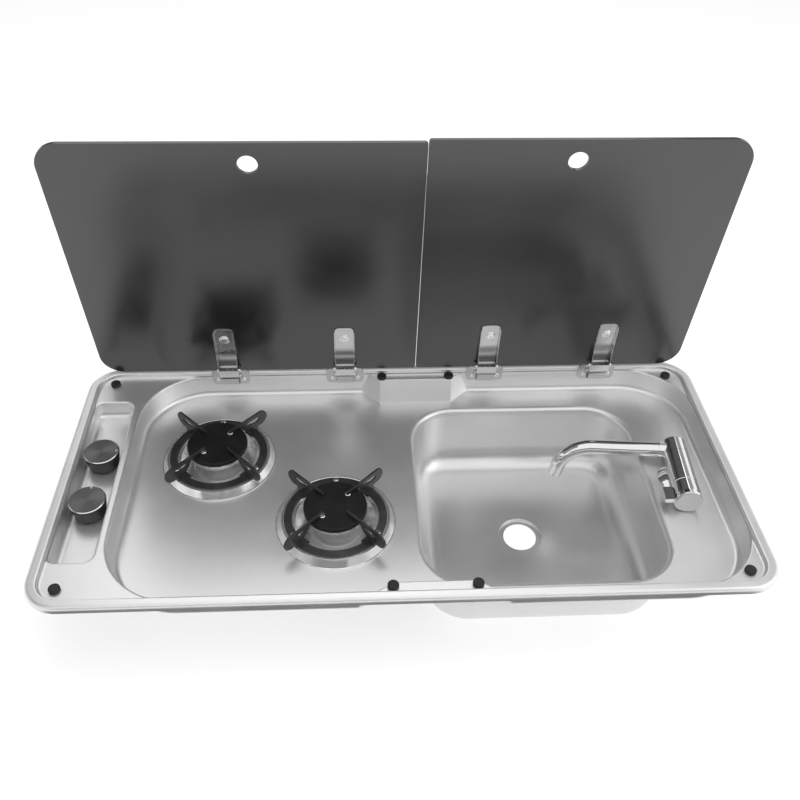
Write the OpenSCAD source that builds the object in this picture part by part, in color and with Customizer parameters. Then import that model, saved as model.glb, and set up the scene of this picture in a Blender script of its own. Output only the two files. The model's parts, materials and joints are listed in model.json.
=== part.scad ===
// Built-in hob and sink unit for a galley: one pressed steel panel holds two gas burners,
// a round-cornered bowl and a folding tap, and two dark glass lids close over it.
// Millimetres. The worktop is z = 0, the middle of the panel is the origin, +Y is the hinge side.

/* [Panel] */
// Width of the rim
rim_w = 775; // [773:1:779]
// Depth of the rim, front to back
rim_d = 365; // [365:1:367]
// Height of the rim above the worktop
rim_h = 8.5; // [8.4:0.1:8.8]
// Corner radius of the rim
rim_corner = 38; // [36:1:40]
// Radius of the rolled outer edge
rim_roll = 4; // [3:0.5:4.5]
// Width of the flat strip between the rolled edge and the recess, at the sides
strip_side = 12.5; // [12:0.5:13]
// Width of the flat strip at the front and back
strip_front = 11.5; // [11.5:0.5:12]
// Thickness of the pressed steel
sheet = 0.8; // [0.7:0.1:0.9]
// Depth of the lid recess below the rim
recess_drop = 5.5; // [5.3:0.1:5.6]
// Corner radius of the lid recess
recess_corner = 26; // [24:1:28]
// Radius of the lip and of the foot of the recess wall
recess_round = 2; // [1.5:0.5:2]

/* [Hob basin] */
// Left wall of the basin
basin_left = -316.5; // [-318:0.5:-315]
// Corner radius of the basin
basin_corner = 80; // [76:1:84]
// Depth of the basin floor below the rim
basin_drop = 35; // [34.5:0.5:35]
// Radius of the lip round the basin
basin_lip = 2.5; // [2:0.5:2.5]
// Radius at the foot of the basin wall
basin_foot = 7; // [6:0.5:8]
// Slope of the basin walls from upright
basin_draft = 4; // [3:1:5]
// Middle of the two shelves that carry the inner lid pads
shelf_x = 27; // [26:0.5:28]

/* [Knob pocket] */
// Front end of the pocket
pocket_front = -122; // [-124:1:-120]
// Back end of the pocket
pocket_back = 123; // [121:1:125]
// Right side of the pocket
pocket_right = -327; // [-328:0.5:-326.5]
// Depth of the pocket floor below the rim
pocket_drop = 27; // [27:0.5:28]
// Corner radius of the pocket
pocket_corner = 11; // [9:1:12]
// Radius at the foot of the pocket wall
pocket_foot = 7; // [6:0.5:7]

/* [Sink bowl] */
// Left side of the bowl opening
bowl_left = 14.6; // [13:0.5:17]
// Right side of the bowl opening
bowl_right = 301.5; // [300:0.5:303]
// Front of the bowl opening
bowl_front = -146; // [-148:1:-144]
// Back of the bowl opening
bowl_back = 134; // [132:1:136]
// Corner radius of the bowl
bowl_corner = 58; // [55:1:60]
// Depth of the bowl below the basin floor
bowl_deep = 90; // [80:5:110]
// Radius of the lip round the bowl
bowl_lip = 6; // [5:0.5:6.5]
// Radius at the foot of the bowl wall
bowl_foot = 28; // [24:1:32]
// Slope of the bowl walls from upright
bowl_draft = 3; // [2:1:4]
// Diameter of the drain hole
drain_d = 41; // [38:1:42]
// Diameter of the pressed seat round the drain hole
drain_seat_d = 53; // [52:1:56]

/* [Burners] */
// Middle of the rear left burner
rear_burner = [-217, 51]; // [-230:1:230]
// Middle of the front burner
front_burner = [-76, -51]; // [-100:1:100]
// Outer radius of the drip tray
tray_r = 68; // [67:0.5:69]
// Radius of the burner cap
cap_r = 35.5; // [35:0.5:36]
// Height of the top of the cap
cap_top = 1; // [0:0.5:1]
// Number of flame ports
ports = 20; // [12:2:24]

/* [Pan supports] */
// Inner radius of the support ring
ring_inner = 49; // [48:0.5:50]
// Outer radius of the support ring
ring_outer = 58; // [57:0.5:59]
// Thickness of the ring and the fins
support_sheet = 2.2; // [1.8:0.2:2.4]
// Height of the top of the fins
fin_top = 6.6; // [6.4:0.1:6.8]
// Radius that the fins reach
fin_reach = 76.5; // [76:0.5:77]

/* [Lids] */
// Thickness of the glass
glass = 4; // [4:0.5:5]
// Front to back length of both lids
lid_len = 328.4; // [327:0.2:329]
// Joint line between the lids
lid_joint = 27; // [26:0.5:28]
// Gap between the lids
lid_gap = 1; // [0.8:0.1:1.4]
// Angle to which the left lid stands open
left_open = 83.3; // [75:0.1:88]
// Angle to which the right lid stands open
right_open = 84.1; // [75:0.1:88]
// Diameter of the finger holes
finger_d = 21.5; // [20:0.5:23]
// Middles of the four hinges
hinge_x = [-211.7, -64, 118.5, 266.5]; // [-240:0.1:280]

/* [Hinges] */
// Width of the strap outside
strap_w = 25; // [25:0.5:26]
// Thickness of the strap
strap_t = 1.2; // [1:0.1:1.2]
// Length of the strap along the glass
strap_len = 73; // [68:1:78]
// Radius of the fixed hinge barrel
barrel_r = 8.2; // [7.5:0.1:8.2]
// Radius of the pivot pin
pivot_r = 1.6; // [1.4:0.1:1.7]

/* [Controls] */
// Front to back distance of each knob from the middle
knob_y = 37.5; // [35:0.5:40]
// Left to right place of the knobs
knob_x = -350; // [-351:0.5:-349.5]
// Diameter of the knob
knob_d = 41; // [39:0.5:41]
// Height of the knob's top
knob_top = 4.5; // [4:0.5:5]
// Travel of a pushed knob
knob_push = 2.5; // [2:0.1:2.6]

/* [Tap] */
// Rear end of the tap body
tap_at = [335.5, 43, -9.5]; // [-350:0.5:350]
// Turn of the tap body from the front to back line
tap_yaw = -4.8; // [-6:0.1:-3]
// Radius of the tap body
tap_r = 15; // [14.5:0.5:15.5]
// Length of the tap body with its handle
tap_len = 94; // [92:1:96]
// Radius of the spout tube
spout_r = 8.9; // [8.4:0.1:9]
// Reach of the spout from the body to the middle of its outlet
spout_reach = 138.5; // [134:0.5:140]
// Radius of the bend in the spout
spout_bend = 38; // [36:1:40]
// Angle of the bend
spout_turn = 80; // [76:1:84]
// Length of the straight end after the bend
spout_tip = 14; // [10:1:16]

/* [Hidden] */
$fn = 64;
smooth = 96;
overlap = 1;
run_fit = 0.05;

half_w = rim_w / 2;
half_d = rim_d / 2;
recess_x = half_w - strip_side;
recess_y = half_d - strip_front;
ledge_z = rim_h - recess_drop;
floor_z = rim_h - basin_drop;
pocket_z = rim_h - pocket_drop;
bowl_z = floor_z - bowl_deep;
bowl_joint_z = floor_z - bowl_lip - 2;
skirt_z = 0.5;

gasket_w = 5;
gasket_inset = 4.2;

pad_r = 6;
pad_h = 4.3;
pad_corner = [355.8, 156.3];
shelf_pad_x = 43.5;
shelf_pad_y = 163;
rear_shelf_half = [46, 59.5];
rear_shelf_deep = 12.5;
front_shelf_half = [40.3, 66];
front_shelf_deep = 13.5;
shelf_front_tilt = 22.5;
shelf_side_tilt = 17.5;

drain_at = [152, -6.5];
drain_step = 3;

burner_hole_r = 56;
seat_z = -18.7;
dish_z = -36.5;
neck_r = 18.5;
body_end_z = -64;
throat_r = 7;
jet_r = 4;
jet_hex = 12;
jet_end_z = -69;
cap_t = 5;
crown_r = 33.5;
crown_z = -15;
screw_r = 1.6;
fin_angles = [45, 135, 225, 315];
ring_screw_angles = [90, 210, 330];
cap_screw_angles = [48, 228];
cap_screw_at = 21;
ring_mid = (ring_inner + ring_outer) / 2;
probe_angle = -30;
probe_at = 41;
probe_r = 1.8;

pivot_y = 168;
pivot_z = 7;
lid_under = 7.5;
lid_back = 159.4;
lid_side_gap = 5;
lid_outer_corner = 28;
lid_inner_corner = 3.5;
finger_in = 25;
left_finger_x = -157.4;
right_finger_x = 184.4;
strap_screw_s = 56;
strap_hole_r = 3;

ear_r = 2.7;
box_half = 10.5;
plate_half = 24;
plate_t = 1.6;
plate_low = -9;
plate_high = 14.5;
base_screw_x = 16.2;
base_screw_z = -0.5;

valve_top = pocket_z - sheet;
valve_low = -58;
spindle_r = 3;
rod_r = 1.5;
pipe_r = 8;
tube_r = 4;
manifold_z = valve_low - pipe_r;
outlet_z = -40;
rod_low = valve_low + 8;
spindle_low = -34;
outlet_reach = 27;
tube_bend_r = 10;
disc_t = 1.2;

collar_s = 21;
handle_s = 67;
ring_gap = 0.3;
spigot_r = 8;
stem_s = 40;
stem_r = 11;
spout_s = 10;
spout_wall = 1.2;
rosette_r = 22;
rosette_h = 7;
shank_r = 10;
shank_end = -72;
tail_r = 5;
spigot_wall = 0.5;
tail_end = -112;
tap_axis_z = tap_at[2];
tap_foot = [tap_at[0] + stem_s * sin(tap_yaw), tap_at[1] - stem_s * cos(tap_yaw)];

// A flat round piece with its upper edge rounded
module disc(r, h, edge) {
    rotate_extrude($fn = smooth) {
        square([r - edge, h]);
        square([r, h - edge]);
        translate([r - edge, h - edge])
            intersection() {
                circle(edge);
                square(edge);
            }
    }
}

// A pan head screw, its head up, with a cross recess
module pan_screw(head_r, head_h, shank, long) {
    difference() {
        disc(head_r, head_h, head_h * 0.6);
        for (turn = [0, 90])
            rotate([0, 0, turn])
                translate([-head_r * 0.55, -head_r * 0.13, head_h * 0.5])
                    cube([head_r * 1.1, head_r * 0.26, head_h]);
    }
    translate([0, 0, -long])
        cylinder(h = long + head_h * 0.4, r = shank);
}

// A cylinder along X between two places
module bar_x(r, x0, x1) {
    translate([x0, 0, 0])
        rotate([0, 90, 0])
            cylinder(h = x1 - x0, r = r);
}

// A rectangle with its own radius at each corner: front left, front right, back right, back left
module rounded_sheet(x0, x1, y0, y1, r) {
    polygon([
        [x0 + r[0], y0], [x1 - r[1], y0], [x1, y0 + r[1]], [x1, y1 - r[2]],
        [x1 - r[2], y1], [x0 + r[3], y1], [x0, y1 - r[3]], [x0, y0 + r[0]]
    ]);
    translate([x0 + r[0], y0 + r[0]]) circle(r[0], $fn = smooth);
    translate([x1 - r[1], y0 + r[1]]) circle(r[1], $fn = smooth);
    translate([x1 - r[2], y1 - r[2]]) circle(r[2], $fn = smooth);
    translate([x0 + r[3], y1 - r[3]]) circle(r[3], $fn = smooth);
}

// A section, drawn outwards from the outline, carried round a rectangle with rounded corners
module swept(x0, x1, y0, y1, r) {
    run = [y1 - y0 - 2 * r, x1 - x0 - 2 * r];
    corner = [[x1 - r, y1 - r], [x0 + r, y1 - r], [x0 + r, y0 + r], [x1 - r, y0 + r]];
    for (k = [0:3])
        translate(corner[k])
            rotate([0, 0, 90 * k]) {
                rotate_extrude(angle = 90, $fn = smooth)
                    right_half(r) children();
                rotate([90, 0, 0])
                    linear_extrude(run[k % 2])
                        right_half(r) children();
            }
}

// A section moved out by the corner radius and cut off at the corner's axis
module right_half(r) {
    intersection() {
        translate([r, 0]) children();
        translate([0, -rim_w]) square(2 * rim_w);
    }
}

// Distance of a pan's wall from its outline at height z
function wall_at(flare, lip, top, draft, z) =
    flare - lip * cos(draft) - (top - lip + lip * sin(draft) - z) * tan(draft);

// Half section of a pressed pan: a rounded lip, a sloping wall and a rounded foot.
// Both ends of a sloping wall lie a hair inside the circles, so that each meets its circle cleanly.
module pan_section(reach, flare, top, lip, floor_at, foot, draft) {
    foot_z = floor_at + foot - foot * sin(draft);
    wall_low = wall_at(flare, lip, top, draft, foot_z);
    flat = wall_low - foot * cos(draft);
    hair = draft > 0 ? 0.02 : 0;
    lip_in = lip > 0 ? lip - hair : 0;
    foot_in = foot > 0 ? foot - hair : 0;
    difference() {
        union() {
            polygon([
                [-reach, top], [flare, top],
                [flare - lip_in * cos(draft), top - lip + lip_in * sin(draft)],
                [flat + foot_in * cos(draft), floor_at + foot - foot_in * sin(draft)],
                [flat, floor_at], [-reach, floor_at]
            ]);
            if (foot > 0)
                translate([flat, floor_at + foot]) circle(foot, $fn = smooth);
        }
        if (lip > 0)
            translate([flare, top - lip]) circle(lip, $fn = smooth);
    }
}

// The space inside a pressed pan
module pan(x0, x1, y0, y1, r, flare, top, lip, floor_at, foot, draft) {
    swept(x0, x1, y0, y1, r)
        pan_section(r, flare, top, lip, floor_at, foot, draft);
    translate([x0 + r, y0 + r, floor_at])
        cube([x1 - x0 - 2 * r, y1 - y0 - 2 * r, top - floor_at]);
}

// The rim's upper skin, grown inwards by a thickness
module rim_skin(inset, low) {
    r = rim_corner - inset;
    roll = rim_roll - inset;
    high = rim_h - inset;
    swept(-half_w + inset, half_w - inset, -half_d + inset, half_d - inset, r) {
        translate([-r, low]) square([r, high - roll - low]);
        translate([-r, low]) square([r - roll, high - low]);
        translate([-roll, high - roll]) circle(roll, $fn = smooth);
    }
    translate([-half_w + inset + r, -half_d + inset + r, low])
        cube([rim_w - 2 * inset - 2 * r, rim_d - 2 * inset - 2 * r, high - low]);
}

// The shallow recess that the lids close into
module recess(out) {
    pan(-recess_x, recess_x, -recess_y, recess_y, recess_corner,
        recess_round, rim_h - out, recess_round - out, ledge_z - out, recess_round + out, 0);
}

// An upright prism with the outline of the recess
module recess_prism(out) {
    translate([0, 0, floor_z - 2 * sheet])
        linear_extrude(ledge_z - floor_z + 5)
            rounded_sheet(-recess_x - out, recess_x + out, -recess_y - out, recess_y + out,
                [for (k = [0:3]) recess_corner + out]);
}

// The hob basin
module basin(out) {
    pan(basin_left, recess_x, -recess_y, recess_y, basin_corner,
        basin_lip + 0.1, ledge_z - out, basin_lip - out, floor_z - out, basin_foot + out, basin_draft);
}

// The upper part of the basin, open to the recess
module basin_mouth() {
    translate([0, 0, ledge_z - overlap / 2])
        linear_extrude(recess_round + overlap)
            rounded_sheet(basin_left - basin_lip, recess_x + overlap, -recess_y - overlap,
                recess_y + overlap, [for (k = [0:3]) basin_corner + basin_lip]);
}

// The pocket round the knobs
module pocket(out) {
    pan(-recess_x, pocket_right, pocket_front, pocket_back, pocket_corner,
        basin_lip + 0.1, ledge_z - out, basin_lip - out, pocket_z - out, pocket_foot + out, basin_draft);
}

// The upper end of the sink bowl, down to its joint with the bowl pressing
module bowl_neck(out) {
    pan(bowl_left, bowl_right, bowl_front, bowl_back, bowl_corner,
        0, floor_z - out, bowl_lip - out, bowl_joint_z - (out > 0 ? 0 : overlap), 0, bowl_draft);
}

// A shelf on the back wall of the basin, its front and its two side faces sloping out to the floor
module shelf(half, deep, inset) {
    side_yaw = atan2(deep, half[1] - half[0]);
    back = inset > 0 ? 4 : 0;
    low = floor_z - 2;
    difference() {
        translate([-half[1] - 30, -deep - 30, low])
            cube([2 * half[1] + 60, deep + 30 + back, ledge_z - inset - low]);
        translate([0, -deep, ledge_z])
            rotate([-shelf_front_tilt, 0, 0])
                translate([-150, -100, -60])
                    cube([300, 100 + inset, 90]);
        for (side = [0, 1])
            mirror([side, 0, 0])
                translate([half[0], -deep, ledge_z])
                    rotate([0, 0, side_yaw])
                        rotate([-shelf_side_tilt, 0, 0])
                            translate([-100, -100, -60])
                                cube([200, 100 + inset, 90]);
    }
}

module shelves(inset) {
    translate([shelf_x, recess_y, 0])
        shelf(rear_shelf_half, rear_shelf_deep, inset);
    translate([shelf_x, -recess_y, 0])
        mirror([0, 1, 0])
            shelf(front_shelf_half, front_shelf_deep, inset);
}

module top_panel() {
    color("silver")
        difference() {
            union() {
                difference() {
                    rim_skin(0, skirt_z);
                    rim_skin(sheet, skirt_z - overlap);
                }
                recess(sheet);
                intersection() {
                    union() {
                        basin(sheet);
                        pocket(sheet);
                    }
                    recess_prism(sheet);
                }
                bowl_neck(sheet);
            }
            recess(0);
            difference() {
                intersection() {
                    union() {
                        basin(0);
                        basin_mouth();
                        pocket(0);
                    }
                    recess_prism(0);
                }
                shelves(0);
            }
            bowl_neck(0);
            shelves(sheet);
            for (at = [rear_burner, front_burner])
                translate([at[0], at[1], floor_z - overlap])
                    cylinder(h = 2 * overlap, r = burner_hole_r, $fn = smooth);
            for (side = [-1, 1])
                translate([knob_x, side * knob_y, pocket_z - overlap])
                    cylinder(h = 2 * overlap, r = spindle_r + 1.5);
            translate([tap_foot[0], tap_foot[1], floor_z - overlap])
                cylinder(h = 2 * overlap, r = shank_r + 0.5);
            for (x = hinge_x, side = [-1, 1])
                translate([x + side * base_screw_x, recess_y + 2, base_screw_z])
                    rotate([90, 0, 0])
                        cylinder(h = 4, r = screw_r + 0.1);
        }
}

module sink_bowl() {
    inner = wall_at(0, bowl_lip, floor_z, bowl_draft, bowl_joint_z);
    outer = wall_at(0, bowl_lip - sheet, floor_z - sheet, bowl_draft, bowl_joint_z);
    color("silver")
        difference() {
            union() {
                pan(bowl_left, bowl_right, bowl_front, bowl_back, bowl_corner,
                    outer, bowl_joint_z, 0, bowl_z - sheet, bowl_foot + sheet, bowl_draft);
                translate([drain_at[0], drain_at[1], bowl_z - drain_step - sheet])
                    cylinder(h = drain_step + sheet, r = drain_seat_d / 2 + sheet);
            }
            pan(bowl_left, bowl_right, bowl_front, bowl_back, bowl_corner,
                inner, bowl_joint_z, 0, bowl_z, bowl_foot, bowl_draft);
            translate([drain_at[0], drain_at[1], bowl_z - drain_step])
                cylinder(h = drain_step + overlap, r = drain_seat_d / 2);
            translate([drain_at[0], drain_at[1], bowl_z - drain_step - 2 * overlap])
                cylinder(h = 3 * overlap, r = drain_d / 2);
        }
}

module rim_gasket() {
    color("dimgray")
        swept(-half_w + gasket_inset, half_w - gasket_inset, -half_d + gasket_inset,
            half_d - gasket_inset, rim_corner - gasket_inset)
            translate([-gasket_w, 0]) square([gasket_w, rim_h - sheet]);
}

module lid_pads() {
    places = concat(
        [for (sx = [-1, 1], sy = [-1, 1]) [sx * pad_corner[0], sy * pad_corner[1]]],
        [for (sx = [-1, 1], sy = [-1, 1]) [shelf_x + sx * shelf_pad_x, sy * shelf_pad_y]]
    );
    color("black")
        for (at = places)
            translate([at[0], at[1], ledge_z]) disc(pad_r, pad_h, 1.2);
}

// A pressed tray: a flat edge, a bead, a seat for the support and a dish round the burner
module drip_tray(at) {
    thick = 0.8;
    bead = 0.6;
    upper = [
        [tray_r, floor_z + thick], [tray_r - 1.5, floor_z + thick], [61.5, seat_z + bead],
        [60.2, seat_z + bead], [59.4, seat_z], [47.5, seat_z], [45, seat_z - 1.6],
        [32, dish_z + 0.8], [29.5, dish_z], [neck_r + 0.3, dish_z]
    ];
    lower = [for (k = [len(upper) - 1:-1:0]) [upper[k][0], upper[k][1] - thick]];
    color("lightgray")
        translate([at[0], at[1], 0])
            difference() {
                rotate_extrude($fn = smooth) polygon(concat(upper, lower));
                for (a = ring_screw_angles)
                    rotate([0, 0, a])
                        translate([ring_mid, 0, seat_z - 2 * overlap])
                            cylinder(h = 3 * overlap, r = screw_r + 0.1);
                rotate([0, 0, probe_angle])
                    translate([probe_at, 0, dish_z])
                        cylinder(h = 16, r = 3.1);
            }
}

// The mixing chamber with its neck through the tray and its throat for the jet
module burner_body(at) {
    outline = [
        [throat_r, crown_z], [23, crown_z], [25, crown_z - 3], [25, -33], [29, -34],
        [29, dish_z], [neck_r, dish_z], [neck_r, body_end_z + 3], [neck_r - 3, body_end_z],
        [jet_r, body_end_z], [jet_r, body_end_z + 9], [throat_r, body_end_z + 12]
    ];
    color("gainsboro")
        translate([at[0], at[1], 0])
            difference() {
                rotate_extrude($fn = smooth) polygon(outline);
                for (a = cap_screw_angles)
                    rotate([0, 0, a])
                        translate([cap_screw_at, 0, crown_z - 8])
                            cylinder(h = 9, r = screw_r);
            }
}

// The flame ring: a thin wall with open ports under the cap
module burner_crown(at) {
    top = cap_top - cap_t;
    outline = [
        [18, crown_z], [crown_r - 3, crown_z], [crown_r, crown_z + 3], [crown_r, top],
        [crown_r - 3, top], [crown_r - 3, crown_z + 4], [crown_r - 5, crown_z + 2], [18, crown_z + 2]
    ];
    color("white")
        translate([at[0], at[1], 0])
            difference() {
                rotate_extrude($fn = smooth) polygon(outline);
                for (k = [0:ports - 1])
                    rotate([0, 0, (k + 0.5) * 360 / ports])
                        translate([crown_r - 5, -0.9, top - 3])
                            cube([7, 1.8, 2]);
                for (a = cap_screw_angles)
                    rotate([0, 0, a])
                        translate([cap_screw_at, 0, crown_z - overlap])
                            cylinder(h = 2 + 2 * overlap, r = screw_r);
            }
}

module burner_cap(at) {
    color("black")
        translate([at[0], at[1], cap_top - cap_t])
            difference() {
                disc(cap_r, cap_t, 1.5);
                for (a = cap_screw_angles)
                    rotate([0, 0, a])
                        translate([cap_screw_at, 0, -overlap])
                            cylinder(h = cap_t + 2 * overlap, r = screw_r);
            }
}

module cap_screws(at) {
    color("silver")
        for (a = cap_screw_angles)
            translate([at[0], at[1], cap_top])
                rotate([0, 0, a])
                    translate([cap_screw_at, 0, 0])
                        pan_screw(3.4, 1.6, screw_r, cap_t + 12);
}

// Side view of one fin: a bar over the cap, a round outer lobe, a leg down to the ring and a window
module fin_side() {
    lobe = 10;
    lobe_x = fin_reach - lobe;
    leg_low = seat_z + support_sheet / 2;
    bar = [[18.5, fin_top], [18.5, fin_top - 2.9], [38, fin_top - 4.6]];
    knee = [[44, -6.5], [51.5, -13.5]];
    leg = [[ring_inner + 3.5, leg_low], [ring_outer + 3, leg_low], [ring_outer + 3.5, -14]];
    window = [[43, 1], [60, 1], [65, -1], [65, -4], [58.5, -6.5], [48, -3]];
    difference() {
        union() {
            polygon(concat(bar, knee, leg, [[lobe_x - 1, -12.5], [lobe_x, fin_top]]));
            translate([lobe_x, fin_top - lobe]) circle(lobe, $fn = smooth);
        }
        polygon(window);
    }
}

// Plan of the support's ring, with a tab under each fin and a hole for each screw
module ring_plan() {
    difference() {
        union() {
            difference() {
                circle(ring_outer, $fn = smooth);
                circle(ring_inner, $fn = smooth);
            }
            for (a = fin_angles)
                rotate(a)
                    translate([ring_inner - 3.5, -6]) square([6, 12]);
        }
        for (a = ring_screw_angles)
            rotate(a)
                translate([ring_mid, 0]) circle(screw_r + 0.1);
    }
}

// A flat ring with four upright fins and a tab at the foot of each
module pan_support(at) {
    color("#202020")
        translate([at[0], at[1], 0]) {
            translate([0, 0, seat_z])
                linear_extrude(support_sheet) ring_plan();
            for (a = fin_angles)
                rotate([0, 0, a])
                    translate([0, support_sheet / 2, 0])
                        rotate([90, 0, 0])
                            linear_extrude(support_sheet) fin_side();
        }
}

module support_screws(at) {
    color("silver")
        for (a = ring_screw_angles)
            translate([at[0], at[1], seat_z + support_sheet])
                rotate([0, 0, a])
                    translate([ring_mid, 0, 0])
                        pan_screw(3.2, 1.8, screw_r, 8);
}

// The flame failure probe beside the burner
module thermocouple(at) {
    color("goldenrod")
        translate([at[0], at[1], 0])
            rotate([0, 0, probe_angle])
                translate([probe_at, 0, 0])
                    rotate_extrude()
                        polygon([
                            [0, -46], [2.4, -46], [2.4, -38], [3, -38], [3, -22],
                            [probe_r, -21], [probe_r, -9], [1, -7], [0, -7]
                        ]);
}

// The brass injector, screwed into the throat from below
module jet(at) {
    color("goldenrod")
        translate([at[0], at[1], 0])
            difference() {
                union() {
                    translate([0, 0, jet_end_z])
                        cylinder(h = body_end_z - jet_end_z, r = jet_hex / 2 / cos(30), $fn = 6);
                    translate([0, 0, body_end_z - overlap])
                        cylinder(h = 10, r = jet_r);
                }
                translate([0, 0, body_end_z])
                    cylinder(h = 10, r = 0.6, $fn = 24);
                translate([0, 0, jet_end_z - overlap])
                    cylinder(h = 7, r = 2.5);
            }
}

// Turn of a valve's outlet towards its burner
function outlet_turn(side, at) = atan2(at[1] - side * knob_y, at[0] - knob_x);

// A valve with its magnet housing to one side and its gas outlet towards the burner
module gas_valve(side, at) {
    color("goldenrod")
        translate([knob_x, side * knob_y, 0])
            difference() {
                union() {
                    translate([-11, -13, valve_low + 4])
                        cube([22, 26, 28]);
                    translate([0, 0, valve_low])
                        cylinder(h = 5, r = 6);
                    translate([0, 0, valve_low + 31])
                        cylinder(h = valve_top - valve_low - 31, r = 9);
                    rotate([0, 0, outlet_turn(side, at)])
                        translate([0, 0, outlet_z]) bar_x(6.5, 9, outlet_reach);
                    translate([0, side * 12, outlet_z + 4])
                        rotate([-side * 90, 0, 0])
                            cylinder(h = 24, r = 7);
                }
                translate([0, 0, spindle_low - knob_push - 0.3])
                    cylinder(h = valve_top - spindle_low + knob_push + 0.3 + overlap, r = spindle_r + run_fit);
                translate([0, 0, rod_low - knob_push - 0.3])
                    cylinder(h = spindle_low - rod_low, r = rod_r + run_fit);
                rotate([0, 0, outlet_turn(side, at)])
                    translate([0, 0, outlet_z])
                        bar_x(tube_r, outlet_reach - 9, outlet_reach + overlap);
            }
}

// The rod that the spindle pushes down to open the magnet valve
module push_rod(side) {
    color("silver")
        translate([knob_x, side * knob_y, rod_low])
            cylinder(h = spindle_low - rod_low, r = rod_r);
}

// The spindle with the flat that the knob grips
module spindle(side) {
    color("silver")
        translate([knob_x, side * knob_y, 0])
            difference() {
                translate([0, 0, spindle_low])
                    cylinder(h = knob_top - 4 - spindle_low, r = spindle_r);
                translate([-5, 1.8, -12])
                    cube([10, 5, 20]);
            }
}

// A tapered knob, hollow under its top, with a boss for the spindle
module knob(side) {
    low = knob_top - 19.8;
    r = knob_d / 2;
    color("#181818")
        translate([knob_x, side * knob_y, 0])
            difference() {
                rotate_extrude($fn = smooth)
                    polygon([
                        [0, knob_top - 7], [0, knob_top - disc_t], [r - 0.3, knob_top - disc_t],
                        [r, knob_top - disc_t - 0.3], [r, knob_top - 3], [r - 3, low], [r - 5.2, low],
                        [r - 3, knob_top - 4], [6, knob_top - 4], [5.5, low + 3], [0, low + 3]
                    ]);
                difference() {
                    translate([0, 0, low - overlap])
                        cylinder(h = knob_top - 4 - low + overlap, r = spindle_r + run_fit);
                    translate([-5, 1.8 + run_fit, -12])
                        cube([10, 5, 20]);
                }
            }
}

// The knob's metal top with its chamfered edge
module knob_disc(side) {
    r = knob_d / 2 - 0.5;
    color("dimgray")
        translate([knob_x, side * knob_y, knob_top - disc_t])
            rotate_extrude($fn = smooth)
                polygon([[0, 0], [r, 0], [r, disc_t - 0.9], [r - 1, disc_t], [0, disc_t]]);
}

// A quarter bend of the gas tube in the XZ plane, turning about its middle from the angle given
module tube_bend(x, z, from) {
    translate([x, 0, z])
        rotate([90, 0, 0])
            rotate([0, 0, from])
                rotate_extrude(angle = 90)
                    translate([tube_bend_r, 0]) circle(tube_r);
}

module gas_manifold() {
    color("silver")
        translate([knob_x, 0, manifold_z])
            rotate([-90, 0, 0])
                difference() {
                    translate([0, 0, -72])
                        cylinder(h = 162, r = pipe_r);
                    translate([0, 0, -70])
                        cylinder(h = 162, r = pipe_r - 1.5);
                }
}

// The end of the supply: a reducer and an 8 mm pipe for a compression joint
module gas_inlet() {
    color("peru")
        translate([knob_x, 90, manifold_z])
            rotate([-90, 0, 0])
                difference() {
                    union() {
                        translate([0, 0, -8])
                            cylinder(h = 8, r = pipe_r - 1.5);
                        cylinder(h = 8, r = 9.2, $fn = 6);
                        translate([0, 0, 8])
                            cylinder(h = 40, r = tube_r);
                    }
                    translate([0, 0, -9])
                        cylinder(h = 60, r = tube_r - 1);
                }
}

// The tube from a valve to its jet: out, down, along under the panel and up
module gas_tube(side, at) {
    r = tube_bend_r;
    turn = outlet_reach + 8;
    low = jet_end_z - 14;
    far = round(100 * norm(at - [knob_x, side * knob_y])) / 100;
    color("peru")
        translate([knob_x, side * knob_y, 0])
            rotate([0, 0, outlet_turn(side, at)]) {
                translate([0, 0, outlet_z]) bar_x(tube_r, outlet_reach - 9, turn);
                tube_bend(turn, outlet_z - r, 0);
                translate([turn + r, 0, low + r]) cylinder(h = outlet_z - low - 2 * r, r = tube_r);
                tube_bend(turn + 2 * r, low + r, 180);
                translate([0, 0, low]) bar_x(tube_r, turn + 2 * r, far - r);
                tube_bend(far - r, low + r, 270);
                translate([far, 0, low + r]) cylinder(h = jet_end_z - low - r, r = tube_r);
            }
}

// Places its children at the rear end of the tap body, with the body running along -Y
module tap_frame() {
    translate(tap_at)
        rotate([0, 0, tap_yaw]) children();
}

// A cylinder along the tap body, from one distance to another
module along_tap(r, s0, s1) {
    translate([0, -s0, 0])
        rotate([90, 0, 0])
            cylinder(h = s1 - s0, r = r, $fn = smooth);
}

module tap_rosette() {
    ball_r = (rosette_r * rosette_r + rosette_h * rosette_h) / (2 * rosette_h);
    color("white")
        translate([tap_foot[0], tap_foot[1], floor_z])
            difference() {
                intersection() {
                    translate([0, 0, rosette_h - ball_r]) sphere(ball_r, $fn = smooth);
                    cylinder(h = rosette_h, r = rosette_r, $fn = smooth);
                }
                translate([0, 0, -overlap])
                    cylinder(h = rosette_h + 2 * overlap, r = stem_r);
                translate([0, 0, tap_axis_z - floor_z])
                    rotate([90, 0, tap_yaw])
                        cylinder(h = 3 * rosette_r, r = tap_r + 0.1, center = true, $fn = smooth);
            }
}

// The valve body with its stem, a spigot for the spout and one for the handle
module tap_body() {
    color("white")
        tap_frame()
            difference() {
                union() {
                    along_tap(tap_r, collar_s + ring_gap, handle_s - ring_gap);
                    along_tap(spigot_r, 4, handle_s + 13);
                    translate([0, -stem_s, floor_z - tap_axis_z])
                        cylinder(h = tap_axis_z - floor_z, r = stem_r);
                }
                along_tap(4, 5, stem_s + 4);
                translate([0, -stem_s, floor_z - tap_axis_z - overlap])
                    cylinder(h = tap_axis_z - floor_z + overlap, r = 5);
                translate([0, -spout_s, 0])
                    bar_x(3, -spigot_r - overlap, 0);
            }
}

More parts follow.
